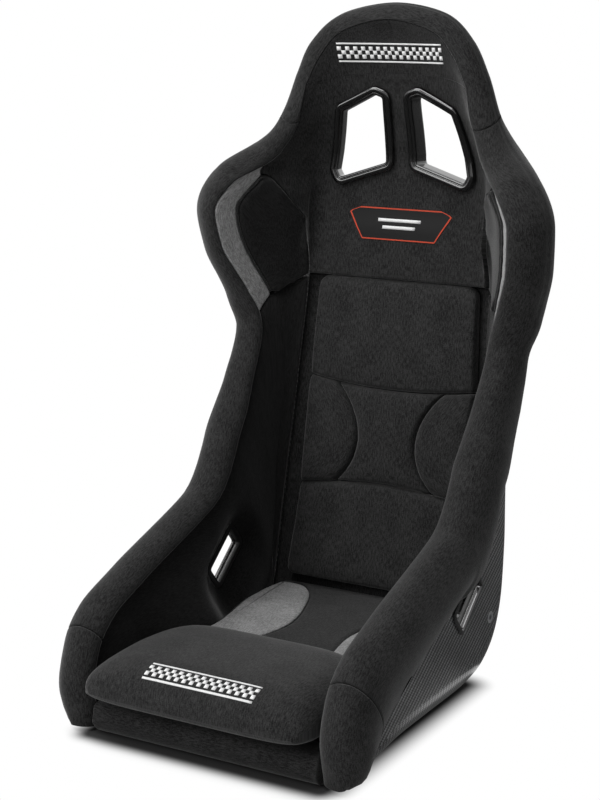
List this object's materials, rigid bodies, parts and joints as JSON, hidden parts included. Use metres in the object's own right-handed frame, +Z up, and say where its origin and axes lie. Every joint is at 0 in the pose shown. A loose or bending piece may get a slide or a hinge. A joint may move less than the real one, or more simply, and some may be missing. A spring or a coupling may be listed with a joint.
{
  "type": "racing seat",
  "caption": "Fixed-back bucket racing seat with a carbon shell, padded fabric rim and panels, belt slots, removable back and thigh cushions, and side mounts.",
  "frame": {"origin": "on the flat underside of the shell, on the centre plane, midway between the front and the rear side-mount bolts", "axes": "+Z up, -Y forward (the way the person in the seat faces), +X to the seat's left-hand side as its user sits"},
  "size_m": [0.5484, 0.5946, 0.9308],
  "materials": {
    "carbon": "clear-coated woven carbon",
    "bolster_fabric": "knitted fabric over foam",
    "panel_fabric": "knitted fabric over foam",
    "cushion_fabric": "knitted fabric over foam",
    "grey_fabric": "grey fabric inserts",
    "gloss_trim": "gloss black moulding",
    "matte_trim": "matt black moulding",
    "hook_tape": "hook-and-loop tape",
    "insert_steel": "turned insert"
  },
  "bodies": {
    "seat": {"shell": "carbon", "mount_insert_front_left": "insert_steel", "mount_insert_front_right": "insert_steel", "mount_insert_rear_left": "insert_steel", "mount_insert_rear_right": "insert_steel", "front_bolster_left": "bolster_fabric", "front_bolster_right": "bolster_fabric", "side_band_left": "bolster_fabric", "side_band_right": "bolster_fabric", "head_band": "bolster_fabric", "side_panel_left": "panel_fabric", "side_panel_right": "panel_fabric", "wing_pad_left": "panel_fabric", "wing_pad_right": "panel_fabric", "wing_stripe_left": "grey_fabric", "wing_stripe_right": "grey_fabric", "back_panel": "panel_fabric", "neck_panel": "panel_fabric", "head_pad": "panel_fabric", "seat_pad": "panel_fabric", "seat_insert_left": "grey_fabric", "seat_insert_right": "grey_fabric", "front_pad": "panel_fabric", "front_apron": "panel_fabric", "harness_bezel_left": "gloss_trim", "harness_bezel_right": "gloss_trim", "harness_ring_left": "matte_trim", "harness_ring_right": "matte_trim", "lap_trim_left": "matte_trim", "lap_trim_right": "matte_trim", "lap_bezel_left": "gloss_trim", "lap_bezel_right": "gloss_trim", "crotch_grommet": "matte_trim", "hook_tape_back": "hook_tape", "hook_tape_thigh": "hook_tape"},
    "back_cushion": {"back_cushion_top": "cushion_fabric", "back_cushion_middle": "cushion_fabric", "back_cushion_bottom": "cushion_fabric", "back_cushion_side_left": "cushion_fabric", "back_cushion_side_right": "cushion_fabric"},
    "thigh_cushion_body": {"thigh_cushion": "cushion_fabric"}
  },
  "joints": [
    {"name": "back_cushion_slide", "type": "slide", "parent": "seat", "child": "back_cushion", "axis": [0, -0.98, 0.199], "range_m": [0, 0.12]},
    {"name": "thigh_cushion_slide", "type": "slide", "parent": "seat", "child": "thigh_cushion_body", "axis": [0, 0, 1], "range_m": [0, 0.15]}
  ]
}
